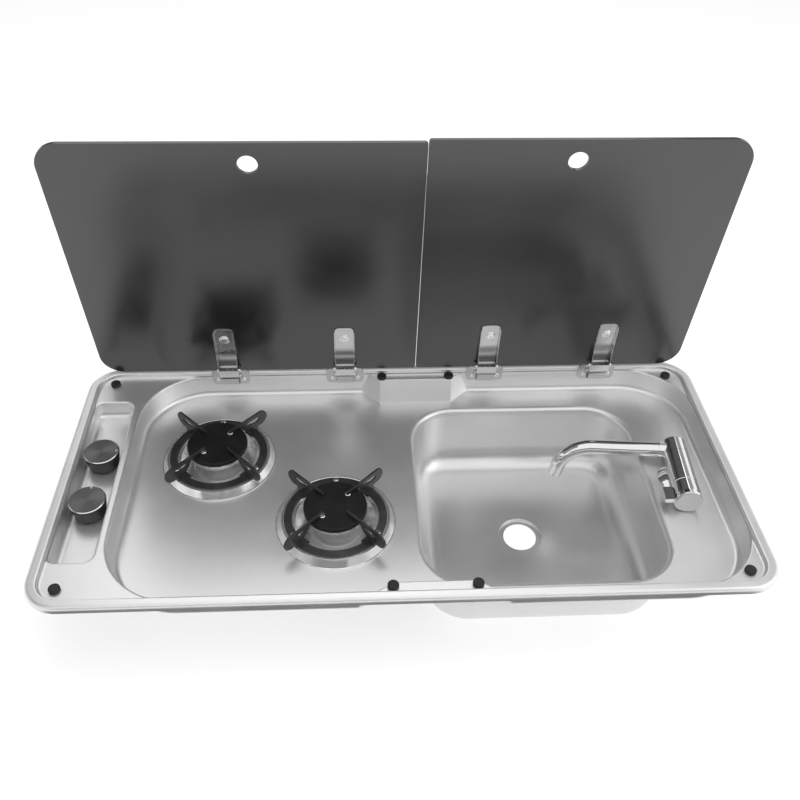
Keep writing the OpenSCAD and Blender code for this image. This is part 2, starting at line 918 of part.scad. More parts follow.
// The turning collar that carries the spout
module spout_collar() {
    color("white")
        tap_frame()
            difference() {
                union() {
                    along_tap(tap_r, 1.5, collar_s);
                    along_tap(tap_r - 1.5, 0, 2);
                    translate([0, -1.5, 0])
                        rotate([90, 0, 0])
                            rotate_extrude($fn = smooth)
                                translate([tap_r - 1.5, 0]) circle(1.5);
                    translate([0, -spout_s, 0])
                        bar_x(spout_r + 0.8, -tap_r - 5, -tap_r + 6);
                }
                along_tap(spigot_r + run_fit, 3, collar_s + overlap);
                translate([0, -spout_s, 0]) {
                    bar_x(spout_r, -tap_r - 6, -12);
                    bar_x(4, -13, 0);
                }
            }
}

// A rod along the spout: a straight run, a bend and a straight end, set a little into the bend
module spout_rod(r, inner_end, extra) {
    step = 0.05;
    bend_x = spout_reach - spout_bend * sin(spout_turn) - spout_tip * cos(spout_turn);
    bar_x(r, -bend_x, inner_end);
    translate([-bend_x, 0, -spout_bend])
        rotate([90, 0, 0])
            rotate([0, 0, 90]) {
                rotate_extrude(angle = spout_turn, $fn = smooth)
                    translate([spout_bend, 0]) circle(r);
                rotate([0, 0, spout_turn])
                    translate([spout_bend, -overlap, 0])
                        rotate([-90, 0, 0])
                            cylinder(h = spout_tip + overlap + extra, r = r - step);
            }
}

module tap_spout() {
    color("white")
        tap_frame()
            translate([0, -spout_s, 0])
                difference() {
                    spout_rod(spout_r, -12, 0);
                    spout_rod(spout_r - spout_wall, -12 + overlap, overlap);
                }
}

// The handle: a sleeve with a raised edge, a flared front and a thin thumb paddle beside it
module tap_handle() {
    flare = 16.6;
    long = tap_len - handle_s - 1.5;
    bead = 0.7;
    paddle_reach = 26.5;
    paddle_half = 3;
    paddle_long = 19;
    color("white")
        tap_frame()
            difference() {
                translate([0, -handle_s, 0])
                    rotate([90, 0, 0]) {
                        rotate_extrude($fn = smooth) {
                            polygon([
                                [0, 0], [tap_r + bead, 0], [tap_r + bead, 1.4], [tap_r + 0.1, 1.4],
                                [tap_r + 0.6, long - 6], [flare, long - 0.6], [flare - 0.3, long], [0, long]
                            ]);
                        }
                        translate([0, 0, 4])
                            rotate([0, 0, 187])
                                linear_extrude(paddle_long) {
                                    translate([0, -paddle_half])
                                        square([paddle_reach - paddle_half, 2 * paddle_half]);
                                    translate([paddle_reach - paddle_half, 0]) circle(paddle_half);
                                }
                    }
                along_tap(spigot_r + run_fit, handle_s - overlap, handle_s + 14);
            }
}

module handle_disc() {
    color("gainsboro")
        tap_frame()
            translate([0, -tap_len + 1.5, 0])
                rotate([90, 0, 0])
                    disc(15.6, 1.5, 1);
}

module tap_shank() {
    color("goldenrod")
        translate([tap_foot[0], tap_foot[1], 0])
            difference() {
                translate([0, 0, shank_end])
                    cylinder(h = floor_z - shank_end, r = shank_r);
                translate([0, 0, shank_end - overlap])
                    cylinder(h = floor_z - shank_end + 2 * overlap, r = tail_r - spigot_wall);
            }
}

module tap_washer() {
    color("black")
        translate([tap_foot[0], tap_foot[1], floor_z - sheet - 3])
            difference() {
                cylinder(h = 3, r = 17);
                translate([0, 0, -overlap])
                    cylinder(h = 3 + 2 * overlap, r = shank_r + 0.3);
            }
}

module tap_nut() {
    color("goldenrod")
        translate([tap_foot[0], tap_foot[1], floor_z - sheet - 10])
            difference() {
                cylinder(h = 7, r = 16, $fn = 6);
                translate([0, 0, -overlap])
                    cylinder(h = 7 + 2 * overlap, r = shank_r);
            }
}

// The supply's tail: a pipe for a hose or a push-fit joint, with a thinner spigot in the shank
module tap_inlet_tail() {
    spigot_top = shank_end + 20 - tail_end;
    color("peru")
        translate([tap_foot[0], tap_foot[1], tail_end])
            difference() {
                union() {
                    cylinder(h = shank_end - tail_end, r = tail_r);
                    cylinder(h = spigot_top, r = tail_r - spigot_wall);
                }
                translate([0, 0, -overlap])
                    cylinder(h = spigot_top + 2 * overlap, r = tail_r - 1.5);
            }
}

// Swings its children about the lid pivot from closed to open
module opened(angle) {
    translate([0, pivot_y, pivot_z])
        rotate([-angle, 0, 0]) children();
}

// One lid, closed, its pivot at the origin
module lid_glass(x0, x1, corners, finger_x, hinges) {
    back = lid_back - pivot_y;
    color("#303030")
        translate([0, 0, lid_under - pivot_z])
            linear_extrude(glass)
                difference() {
                    rounded_sheet(x0, x1, back - lid_len, back, corners);
                    translate([finger_x, back - lid_len + finger_in])
                        circle(finger_d / 2);
                    for (x = hinges)
                        translate([x, back - strap_screw_s]) circle(strap_hole_r);
                }
}

// Side view of a strap's flange, its pivot at the origin and the glass above it
module flange_side() {
    top = lid_under - pivot_z;
    end = lid_back - pivot_y - strap_len;
    difference() {
        union() {
            polygon([
                [0, top], [end + 3, top], [end, top - 2], [end + 1, top - 4], [-40, -5.5],
                [-16.5, -8.8], [-5.6, -8.8], [2, -1.8]
            ]);
            circle(ear_r);
        }
        circle(pivot_r + run_fit);
    }
}

// A channel-shaped strap: a web on the glass, two flanges and a nose in front of the barrel
module hinge_strap() {
    top = lid_under - pivot_z;
    back = lid_back - pivot_y;
    end = back - strap_len;
    nose_y = -16.5;
    corner = 7;
    difference() {
        union() {
            for (side = [0, 1])
                mirror([side, 0, 0])
                    translate([strap_w / 2 - strap_t, 0, 0])
                        rotate([90, 0, 90])
                            linear_extrude(strap_t) flange_side();
            translate([0, 0, top - strap_t])
                linear_extrude(strap_t)
                    rounded_sheet(-strap_w / 2, strap_w / 2, end, nose_y, [corner, corner, 1, 1]);
            translate([-strap_w / 2, nose_y, -8.8])
                cube([strap_w, strap_t, top + 8.8]);
            translate([-strap_w / 2, nose_y, -8.8])
                cube([strap_w, -5.6 - nose_y, strap_t]);
        }
        translate([0, back - strap_screw_s, top - 2 * strap_t])
            cylinder(h = 3 * strap_t, r = screw_r + 0.5);
        translate([-strap_w / 2 - overlap, -14.2, -4.9])
            bar_x(2.05, 0, strap_w + 2 * overlap);
        for (side = [0, 1])
            mirror([side, 0, 0])
                translate([strap_w / 2, end, top - 6])
                    difference() {
                        translate([-corner, -overlap, 0])
                            cube([corner + overlap, corner + overlap, 8]);
                        translate([-corner, corner, -overlap])
                            cylinder(h = 10, r = corner);
                    }
    }
}

// The pin across the strap's flanges, with domed ends
module cross_pin() {
    head = 1.2;
    translate([0, -14.2, -4.9]) {
        bar_x(2, -strap_w / 2 - 0.5, strap_w / 2 + 0.5);
        for (side = [0, 1])
            mirror([side, 0, 0])
                translate([strap_w / 2, 0, 0])
                    rotate([0, 90, 0])
                        disc(3, head + 1.4, 1.2);
    }
}

// A fixed base: a wall plate with room for the strap's ears, and the barrel between them
module hinge_base() {
    wall = recess_y - pivot_y;
    difference() {
        union() {
            translate([0, recess_y, 0])
                rotate([90, 0, 0])
                    linear_extrude(plate_t)
                        rounded_sheet(-plate_half, plate_half, plate_low, plate_high, [6, 6, 6, 6]);
            translate([-box_half, pivot_y, pivot_z])
                rotate([90, 0, 90])
                    linear_extrude(2 * box_half)
                        difference() {
                            union() {
                                circle(barrel_r);
                                polygon([
                                    [0, barrel_r], [wall, 7.5], [wall, -16], [0.8, -15.4], [-3, -12.8],
                                    [-5, -9], [-6, -5.6]
                                ]);
                            }
                            translate([wall, -30]) square([10, 60]);
                        }
        }
        for (side = [0, 1])
            mirror([side, 0, 0]) {
                translate([box_half, recess_y - plate_t - overlap, pivot_z - ear_r - 0.6])
                    cube([4, plate_t + 2 * overlap, 20]);
                translate([base_screw_x, recess_y + overlap, base_screw_z])
                    rotate([90, 0, 0])
                        cylinder(h = plate_t + 2 * overlap, r = screw_r + 0.1);
            }
        translate([-box_half - overlap, pivot_y, pivot_z])
            bar_x(pivot_r, 0, 2 * box_half + 2 * overlap);
        translate([-plate_half - 5, recess_y, -0.5])
            rotate([-basin_draft, 0, 0])
                translate([0, 0, -30])
                    cube([2 * plate_half + 10, 10, 30]);
    }
}

module pivot_pin() {
    translate([0, pivot_y, pivot_z]) {
        bar_x(pivot_r, -strap_w / 2 - 0.5, strap_w / 2 + 0.5);
        for (side = [0, 1])
            mirror([side, 0, 0])
                translate([strap_w / 2 + 0.1, 0, 0])
                    rotate([0, 90, 0])
                        disc(2.6, 1.4, 0.8);
    }
}

module hinge_base_screws() {
    color("silver")
        for (x = hinge_x, side = [-1, 1])
            translate([x + side * base_screw_x, recess_y - plate_t, base_screw_z])
                rotate([90, 0, 0]) pan_screw(2.9, 1.6, screw_r, plate_t + 2 * sheet);
}

module lid_part(hinges, angle) {
    opened(angle)
        for (x = hinges)
            translate([x, 0, 0]) children();
}

module strap_screw() {
    back = lid_back - pivot_y;
    translate([0, back - strap_screw_s, lid_under - pivot_z - strap_t])
        rotate([180, 0, 0]) pan_screw(4.2, 2, screw_r + 0.4, strap_t + glass + 1.2);
}

// The cap nut on the outer face of the glass, over a sleeve in the glass
module glass_cap() {
    back = lid_back - pivot_y;
    translate([0, back - strap_screw_s, lid_under - pivot_z])
        difference() {
            union() {
                translate([0, 0, glass]) disc(8, 2.6, 1.4);
                cylinder(h = glass, r = strap_hole_r - 0.1);
            }
            translate([0, 0, -overlap])
                cylinder(h = glass + 1.3 + overlap, r = screw_r + 0.4);
        }
}

left_hinges = [hinge_x[0], hinge_x[1]];
right_hinges = [hinge_x[2], hinge_x[3]];
left_corners = [lid_outer_corner, lid_inner_corner, lid_inner_corner, lid_outer_corner];
right_corners = [lid_inner_corner, lid_outer_corner, lid_outer_corner, lid_inner_corner];

module left_lid_glass() {
    opened(left_open)
        lid_glass(-recess_x + lid_side_gap, lid_joint - lid_gap / 2, left_corners, left_finger_x, left_hinges);
}

module right_lid_glass() {
    opened(right_open)
        lid_glass(lid_joint + lid_gap / 2, recess_x - lid_side_gap, right_corners, right_finger_x, right_hinges);
}

top_panel();
sink_bowl();
rim_gasket();
lid_pads();
drip_tray(rear_burner);  // rear_drip_tray
burner_body(rear_burner);  // rear_burner_body
burner_crown(rear_burner);  // rear_burner_crown
burner_cap(rear_burner);  // rear_burner_cap
cap_screws(rear_burner);  // rear_cap_screws
pan_support(rear_burner);  // rear_pan_support
support_screws(rear_burner);  // rear_support_screws
thermocouple(rear_burner);  // rear_thermocouple
jet(rear_burner);  // rear_jet
drip_tray(front_burner);  // front_drip_tray
burner_body(front_burner);  // front_burner_body
burner_crown(front_burner);  // front_burner_crown
burner_cap(front_burner);  // front_burner_cap
cap_screws(front_burner);  // front_cap_screws
pan_support(front_burner);  // front_pan_support
support_screws(front_burner);  // front_support_screws
thermocouple(front_burner);  // front_thermocouple
jet(front_burner);  // front_jet
gas_valve(1, rear_burner);  // rear_gas_valve
push_rod(1);  // rear_push_rod
spindle(1);  // rear_spindle
knob(1);  // rear_knob
knob_disc(1);  // rear_knob_disc
gas_valve(-1, front_burner);  // front_gas_valve
push_rod(-1);  // front_push_rod
spindle(-1);  // front_spindle
knob(-1);  // front_knob
knob_disc(-1);  // front_knob_disc
gas_manifold();
gas_inlet();
gas_tube(1, rear_burner);  // rear_gas_tube
gas_tube(-1, front_burner);  // front_gas_tube
tap_rosette();
tap_body();
spout_collar();
tap_spout();
tap_handle();
handle_disc();
tap_shank();
tap_washer();
tap_nut();
tap_inlet_tail();
left_lid_glass();
lid_part(left_hinges, left_open) color("silver") hinge_strap();  // left_hinge_straps
lid_part(left_hinges, left_open) color("silver") cross_pin();  // left_cross_pins
lid_part(left_hinges, left_open) color("silver") strap_screw();  // left_strap_screws
lid_part(left_hinges, left_open) color("dimgray") glass_cap();  // left_glass_caps
right_lid_glass();
lid_part(right_hinges, right_open) color("silver") hinge_strap();  // right_hinge_straps
lid_part(right_hinges, right_open) color("silver") cross_pin();  // right_cross_pins
lid_part(right_hinges, right_open) color("silver") strap_screw();  // right_strap_screws
lid_part(right_hinges, right_open) color("dimgray") glass_cap();  // right_glass_caps
for (x = hinge_x) translate([x, 0, 0]) color("silver") hinge_base();  // hinge_bases
for (x = hinge_x) translate([x, 0, 0]) color("silver") pivot_pin();  // hinge_pivot_pins
hinge_base_screws();
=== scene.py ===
"""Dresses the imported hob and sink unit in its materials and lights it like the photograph.

Lengths are in metres and angles in degrees. +X is the right of the unit, +Y its rear, +Z is up."""

import json
import math

import bmesh
import bpy
from mathutils import Matrix, Vector


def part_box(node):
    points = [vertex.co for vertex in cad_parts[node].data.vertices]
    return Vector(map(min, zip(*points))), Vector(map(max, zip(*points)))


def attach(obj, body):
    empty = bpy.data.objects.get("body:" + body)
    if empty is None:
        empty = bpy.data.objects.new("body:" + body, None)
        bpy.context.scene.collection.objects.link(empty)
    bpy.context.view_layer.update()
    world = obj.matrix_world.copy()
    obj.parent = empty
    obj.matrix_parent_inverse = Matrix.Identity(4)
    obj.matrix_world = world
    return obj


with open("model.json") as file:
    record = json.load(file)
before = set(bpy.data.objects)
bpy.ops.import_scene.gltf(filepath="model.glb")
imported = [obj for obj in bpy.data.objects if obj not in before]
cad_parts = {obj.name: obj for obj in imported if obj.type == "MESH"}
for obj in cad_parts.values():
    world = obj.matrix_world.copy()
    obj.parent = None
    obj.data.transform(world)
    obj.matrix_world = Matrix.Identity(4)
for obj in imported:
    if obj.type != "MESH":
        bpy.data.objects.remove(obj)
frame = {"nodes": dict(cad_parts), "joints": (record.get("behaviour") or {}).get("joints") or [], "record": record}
nodes = frame["nodes"]
joints = {joint["name"]: joint for joint in frame["joints"]}
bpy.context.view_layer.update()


def upright_axis(node):
    """Where the upright middle line of a round node stands."""
    low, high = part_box(node)
    return (low.x + high.x) / 2, (low.y + high.y) / 2


# Places that the frame gives
BURNERS = {side: upright_axis(side + "_drip_tray") for side in ("rear", "front")}
KNOBS = {side: joints[side + "_knob_turn"]["pos_m"][:2] for side in ("rear", "front")}
KNOB_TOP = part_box("rear_knob_disc")[1].z
KNOB_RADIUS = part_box("rear_knob")[1].x - KNOBS["rear"][0]
FLOOR_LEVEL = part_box("sink_bowl")[0].z

# The recess for the lids in the panel: its half width and half depth, and its corners' radius
RECESS_HALF = (0.375, 0.171)
RECESS_CORNER = 0.026

# Heights between which the straps of the open lids bend out and their colour is painted darker as a painted
# reflection: their foot, and where the bend starts
STRAP_FOOT = 0.0255
STRAP_BEND = 0.056

# A strap's screw: its place in Y and Z from the hinge with the lid closed, and its head's radius
STRAP_SCREW = (-0.0646, -0.0007)
STRAP_SCREW_HEAD = 0.0042

# The washer under that head, as radius and height: from the hole along the foot, then over the dish
WASHER_OUTLINE = [
    (0.00425, 0), (0.0062, 0), (0.0064, 0.0002), (0.0061, 0.0006), (0.0052, 0.0009), (0.00425, 0.0008),
]

# The white dot on a knob: its radius, its height, how far it sits from the knob's axis, and its
# place from that axis to the right and to the rear, as the photograph shows the knobs turned
DOT_RADIUS = 0.0012
DOT_HEIGHT = 0.00025
DOT_REACH = KNOB_RADIUS - 0.0031
DOT_PLACES = {"rear": (DOT_REACH, 0.0004), "front": (0.0012, DOT_REACH)}

# Softened edges of CAD nodes: the gap that is welded first, the angles up to which faces count as
# flat and from which they make an edge, and the width that is rounded off on enamel and on sheet
WELD_GAP = 0.000004
FLAT_ANGLE = 0.6
EDGE_ANGLE = 38
ENAMEL_EDGE = 0.0004
SHEET_EDGE = 0.00025

# Sides of a turned piece
TURNED_SIDES = 32

# The camera, solved from the photograph: its place, its turn about each axis, the lens and sensor in
# millimetres, the shift as a share of the sensor, and the nearest and farthest that it sees
CAMERA_PLACE = (-0.052558, -0.670397, 0.716690)
CAMERA_TURN = (47.97597, -1.07415, -2.67294)
CAMERA_LENS = 37.954
CAMERA_SENSOR = 36.0
CAMERA_SHIFT = (0.00711, -0.00069)
CAMERA_CLIP = (0.01, 50.0)

# The studio: the white world's strength as the camera and mirrors see it and as it lights the
# object, the floor's glow and half width, and the gap between the floor and the near black sheet on it, a painted
# shadow
WORLD_SEEN = 1.0
WORLD_LIGHT = 0.45
FLOOR_GLOW = 0.54
FLOOR_HALF = 6.0
CARD_GAP = 0.001

WHITE = (1, 1, 1, 1)


# Node graphs

class Look:
    """One material, with short ways to write its nodes."""

    def __init__(self, name):
        self.material = bpy.data.materials.new(name)
        self.material.use_nodes = True
        self.tree = self.material.node_tree
        self.shader = self.tree.nodes["Principled BSDF"]
        self.place = self.add("ShaderNodeTexCoord").outputs["Object"]

    def add(self, kind, **values):
        """A new node, with its settings and inputs by name."""
        node = self.tree.nodes.new(kind)
        for key, value in values.items():
            if hasattr(node, key):
                setattr(node, key, value)
            else:
                node.inputs[key.replace("_", " ")].default_value = value
        return node

    def join(self, source, target):
        self.tree.links.new(source, target)

    def set(self, **values):
        """Uniform values on the shader's own sockets."""
        for key, value in values.items():
            self.shader.inputs[key.replace("_", " ")].default_value = value

    def stretched(self, scale):
        """Object coordinates scaled by a vector."""
        node = self.add("ShaderNodeMapping", Scale=scale)
        self.join(self.place, node.inputs["Vector"])
        return node.outputs["Vector"]

    def noise(self, vector, scale, detail=2.0, roughness=0.5):
        node = self.add("ShaderNodeTexNoise", Scale=scale, Detail=detail, Roughness=roughness)
        self.join(vector, node.inputs["Vector"])
        return node.outputs["Fac"]

    def span(self, value, low, high, start=0.3, end=0.7):
        """Maps a value between start and end to low and high."""
        node = self.add("ShaderNodeMapRange", From_Min=start, From_Max=end, To_Min=low, To_Max=high)
        self.join(value, node.inputs["Value"])
        return node.outputs["Result"]

    def math(self, kind, first, second=0.0):
        node = self.add("ShaderNodeMath", operation=kind)
        for socket, value in zip(node.inputs, (first, second)):
            if isinstance(value, (int, float)):
                socket.default_value = value
            else:
                self.join(value, socket)
        return node.outputs[0]

    def vector(self, kind, source, output="Vector"):
        """The node and the result of one step of vector arithmetic."""
        node = self.add("ShaderNodeVectorMath", operation=kind)
        self.join(source, node.inputs[0])
        return node, node.outputs[output]

    def tint(self, value, dark, light):
        """A base colour between two, by a value from 0 to 1."""
        node = self.add("ShaderNodeMix", data_type="RGBA")
        node.inputs["A"].default_value = (*dark, 1)
        node.inputs["B"].default_value = (*light, 1)
        self.join(value, node.inputs["Factor"])
        self.join(node.outputs["Result"], self.shader.inputs["Base Color"])

    def rough(self, value):
        self.join(value, self.shader.inputs["Roughness"])

    def bump(self, height, depth, strength=1.0, under=None):
        """Relief of a given depth, on top of another normal where one is given."""
        node = self.add("ShaderNodeBump", Strength=strength, Distance=depth)
        self.join(height, node.inputs["Height"])
        if under is not None:
            self.join(under, node.inputs["Normal"])
        self.join(node.outputs["Normal"], self.shader.inputs["Normal"])
        return node.outputs["Normal"]

    def soft_edges(self, radius):
        """A normal that rounds the edges of a shape, as a press leaves them."""
        return self.add("ShaderNodeBevel", samples=6, Radius=radius).outputs["Normal"]

    def openness(self, distance):
        """1 on open surfaces, towards 0 in the grooves and recesses of the same object."""
        node = self.add("ShaderNodeAmbientOcclusion", samples=6, only_local=True, Distance=distance)
        return node.outputs["AO"]

    def from_axes(self, centres):
        """Distance from the nearest of several upright axes."""
        nearest = None
        for x, y in centres:
            move = self.add("ShaderNodeMapping", Location=(-x, -y, 0), Scale=(1, 1, 0))
            self.join(self.place, move.inputs["Vector"])
            away = self.vector("LENGTH", move.outputs["Vector"], "Value")[1]
            nearest = away if nearest is None else self.math("MINIMUM", nearest, away)
        return nearest

    def height(self):
        node = self.add("ShaderNodeSeparateXYZ")
        self.join(self.place, node.inputs["Vector"])
        return node.outputs["Z"]

    def beyond(self, half, corner):
        """Distance outside an upright rectangle with rounded corners, centred on the origin."""
        any_height = 10.0
        folded = self.vector("ABSOLUTE", self.place)[1]
        inner, away = self.vector("SUBTRACT", folded)
        inner.inputs[1].default_value = (half[0] - corner, half[1] - corner, any_height)
        outside = self.vector("MAXIMUM", away)[1]
        length = self.vector("LENGTH", outside, "Value")[1]
        return self.math("MAXIMUM", self.math("SUBTRACT", length, corner))


def grey(level):
    return (level, level, level)


def darker(colour, share):
    return tuple(share * channel for channel in colour)


# Materials

def satin_steel(name, level, rough, grain, depth, metal=1.0, edge=0.0, crown=0.0):
    """Stainless steel with a fine grain, faint clouds of wiping and slightly uneven gloss.

    Metal under 1 gives the wide scatter of a finish that is dulled by its grain. An edge radius
    rounds the pressed edges, and a crown makes the strip round the lid recess fall away a little
    to the outside."""
    look = Look(name)
    fine = look.noise(look.stretched(grain), scale=1.0, detail=3.0, roughness=0.6)
    cloud = look.noise(look.place, scale=14.0, detail=3.0, roughness=0.55)
    speck = look.noise(look.place, scale=900.0, detail=1.0)
    shade = look.math("ADD", look.math("MULTIPLY", fine, 0.5), look.math("MULTIPLY", cloud, 0.5))
    look.tint(look.span(shade, 0.0, 1.0, start=0.35, end=0.65), grey(level * 0.94), grey(level * 1.04))
    gloss = look.span(cloud, rough - 0.03, rough + 0.03)
    look.rough(look.math("ADD", gloss, look.span(fine, -0.02, 0.02)))
    under = look.soft_edges(edge) if edge else None
    if crown:
        fall = look.math("MULTIPLY", look.beyond(RECESS_HALF, RECESS_CORNER), -crown)
        under = look.bump(fall, depth=1.0, under=under)
    relief = look.math("ADD", fine, look.math("MULTIPLY", speck, 0.3))
    look.bump(relief, depth, strength=0.35, under=under)
    look.set(Metallic=metal)
    return look.material


def bright_metal(name, colour, rough, recess=0.0):
    """Polished or plated metal with hairline scratches, and painted shade in its recesses if asked."""
    look = Look(name)
    hair = look.noise(look.stretched((300.0, 2400.0, 900.0)), scale=1.0)
    if recess:
        # Painted shade: the colour is darkened where occlusion closes the surface in, in grooves and recesses.
        painted_shade_factor = look.span(look.openness(recess), 0.0, 1.0, start=0.35, end=0.85)
        look.tint(painted_shade_factor, darker(colour, 0.12), colour)
    else:
        cloud = look.noise(look.place, scale=60.0)
        look.tint(look.span(cloud, 0.0, 1.0), darker(colour, 0.94), colour)
    look.rough(look.span(hair, rough * 0.85, rough * 1.2))
    look.bump(hair, depth=0.00001, strength=0.25)
    look.set(Metallic=1.0)
    return look.material


def ringed_metal(name, level, rough, centres, pitch, metal=1.0):
    """Metal turned on a lathe: fine rings about an upright axis, nearest of the centres given."""
    look = Look(name)
    turns = look.math("MULTIPLY", look.from_axes(centres), 2 * math.pi / pitch)
    cloud = look.noise(look.place, scale=90.0, detail=3.0)
    mixed = look.math("ADD", look.math("MULTIPLY", look.math("SINE", turns), 0.1), cloud)
    shade = look.span(mixed, 0.0, 1.0, start=0.2, end=0.8)
    look.tint(shade, grey(level * 0.95), grey(level * 1.04))
    look.rough(look.span(cloud, rough - 0.05, rough + 0.06))
    look.bump(cloud, depth=0.00001, strength=0.2)
    look.set(Metallic=metal)
    return look.material


def spun_disc(name, level, rough, centres, edge):
    """A dark disc faced on a lathe: its gloss fans out in wedges about its own axis, and its
    rim is cut bright from the edge radius on."""
    look = Look(name)
    around = look.add("ShaderNodeTangent", direction_type="RADIAL", axis="Z")
    look.join(around.outputs["Tangent"], look.shader.inputs["Tangent"])
    fine = look.noise(look.place, scale=420.0)
    cut = look.span(look.from_axes(centres), 0.0, 1.0, start=edge, end=edge + 0.0002)
    mixed = look.math("ADD", look.math("MULTIPLY", look.span(fine, 0.0, 1.0), 0.02), cut)
    look.tint(mixed, grey(level), grey(0.85))
    faced = look.span(fine, rough - 0.03, rough + 0.04)
    look.rough(look.math("SUBTRACT", faced, look.math("MULTIPLY", cut, rough * 0.6)))
    look.bump(fine, depth=0.000004, strength=0.3)
    look.set(Metallic=1.0, Anisotropic=0.75)
    return look.material


def enamel(name, level, rough, grain, gloss):
    """Black vitreous enamel: a fine orange peel and a soft gloss, rubbed a little paler in places."""
    look = Look(name)
    peel = look.noise(look.place, scale=grain)
    worn = look.noise(look.place, scale=45.0, detail=4.0, roughness=0.6)
    look.tint(look.span(worn, 0.0, 1.0, start=0.45, end=0.75), grey(level), grey(level * 2.0))
    look.rough(look.span(worn, rough - 0.06, rough + 0.08))
    look.bump(peel, depth=0.00006, strength=0.35)
    look.set(Metallic=0.0, Specular_IOR_Level=gloss)
    return look.material


def rubber(name, level, rough):
    """Dusty black rubber with fine pores."""
    look = Look(name)
    pores = look.noise(look.place, scale=2600.0, roughness=0.6)
    dust = look.noise(look.place, scale=120.0, detail=3.0)
    look.tint(look.span(dust, 0.0, 1.0), grey(level * 0.8), grey(level * 1.3))
    look.rough(look.span(pores, rough - 0.06, rough + 0.08))
    look.bump(pores, depth=0.00012, strength=0.4)
    return look.material


def moulded_black(name, level):
    """Black moulded plastic with a fine grain, rubbed paler where it is held."""
    look = Look(name)
    grain = look.noise(look.place, scale=3200.0, roughness=0.6)
    rubbed = look.noise(look.place, scale=110.0, detail=3.0)
    look.tint(look.span(rubbed, 0.0, 1.0), grey(level), grey(level * 1.7))
    look.rough(look.span(rubbed, 0.34, 0.46))
    look.bump(grain, depth=0.00005, strength=0.3)
    return look.material


def smoked_glass(name):
    """Toughened glass, dark right through, its gloss broken by faint waves and a thin film of dust."""
    look = Look(name)
    film = look.noise(look.place, scale=9.0, detail=4.0, roughness=0.6)
    dust = look.noise(look.place, scale=1500.0, detail=1.0)
    waves = look.noise(look.place, scale=5.0, detail=1.0)
    look.tint(look.span(film, 0.0, 1.0, start=0.3, end=0.75), grey(0.016), grey(0.026))
    look.rough(look.math("ADD", look.span(film, 0.17, 0.24), look.span(dust, -0.01, 0.02)))
    look.bump(waves, depth=0.0004, strength=0.15)
    look.set(Metallic=0.0, IOR=1.85)
    return look.material


def strap_steel(name, level, rough, foot, top):
    """Polished strap, bent out towards its foot, and painted darker from the bend down to the foot as a painted
    dark reflection, full again below the foot.
    """
    look = Look(name)
    reach = top - foot
    hair = look.noise(look.stretched((2400.0, 300.0, 300.0)), scale=1.0)
    below_top = look.math("MAXIMUM", look.math("SUBTRACT", top, look.height()))
    down = look.math("MINIMUM", below_top, reach)
    bend = look.math("MULTIPLY", look.math("MULTIPLY", down, down), 0.45 / reach)
    # Painted reflection: the colour darkens from where the bend starts down to the foot and is full again below
    # the foot.
    nose = look.span(look.height(), 1.0, 0.0, start=foot - 0.0006, end=foot)
    shade = look.math("ADD", nose, look.span(down, 1.0, 0.0, start=0.0, end=reach))
    look.tint(shade, grey(level * 0.12), grey(level))
    look.rough(look.span(hair, rough * 0.85, rough * 1.2))
    under = look.bump(bend, depth=1.0, under=look.soft_edges(0.0006))
    look.bump(hair, depth=0.000008, strength=0.25, under=under)
    look.set(Metallic=1.0)
    return look.material


def chrome(name, level, rough):
    """Bright plate: almost a mirror, with fingerprints just readable in the gloss."""
    look = Look(name)
    prints = look.noise(look.place, scale=160.0, detail=4.0, roughness=0.6)
    ripple = look.noise(look.place, scale=45.0, detail=1.0)
    look.tint(look.span(prints, 0.0, 1.0), grey(level * 0.96), grey(level))
    look.rough(look.span(prints, rough * 0.7, rough * 1.8, start=0.4, end=0.8))
    look.bump(ripple, depth=0.00008, strength=0.2)
    look.set(Metallic=1.0)
    return look.material


def paint_white(name):
    """The worn white paint of the knobs' pointer dots."""
    look = Look(name)
    wear = look.noise(look.place, scale=900.0, detail=3.0)
    look.tint(look.span(wear, 0.0, 1.0), grey(0.72), grey(0.86))
    look.rough(look.span(wear, 0.35, 0.5))
    look.bump(wear, depth=0.00003, strength=0.3)
    return look.material


def steel_finishes():
    """Steels with a grain, given as how fine it is along each axis, and the bent straps."""
    return [
        satin_steel("pressed_steel", level=0.88, rough=0.35, grain=(260.0, 2600.0, 2600.0),
                    depth=0.000008, metal=0.74, edge=0.002, crown=0.045),
        satin_steel("bowl_steel", level=0.84, rough=0.32, grain=(2600.0, 260.0, 900.0),
                    depth=0.000004, metal=0.78, edge=0.0015),
        satin_steel("satin_chrome", level=0.60, rough=0.26, grain=(1800.0, 1800.0, 1800.0),
                    depth=0.00001),
        satin_steel("cap_metal", level=0.34, rough=0.36, grain=(1500.0, 1500.0, 1500.0),
                    depth=0.00001),
        strap_steel("strap_steel", level=0.66, rough=0.24, foot=STRAP_FOOT, top=STRAP_BEND),
    ]


def turned_finishes():
    """The parts that were turned on a lathe, with rings about the burners' and knobs' axes."""
    burners = list(BURNERS.values())
    return [
        ringed_metal("tray_steel", level=0.94, rough=0.20, centres=burners, pitch=0.0011, metal=0.84),
        ringed_metal("burner_alloy", level=0.58, rough=0.42, centres=burners, pitch=0.0014),
        ringed_metal("crown_alloy", level=0.97, rough=0.16, centres=burners, pitch=0.0009, metal=0.72),
        spun_disc("knob_metal", level=0.12, rough=0.34, centres=KNOBS.values(),
                  edge=KNOB_RADIUS - 0.0014),
    ]


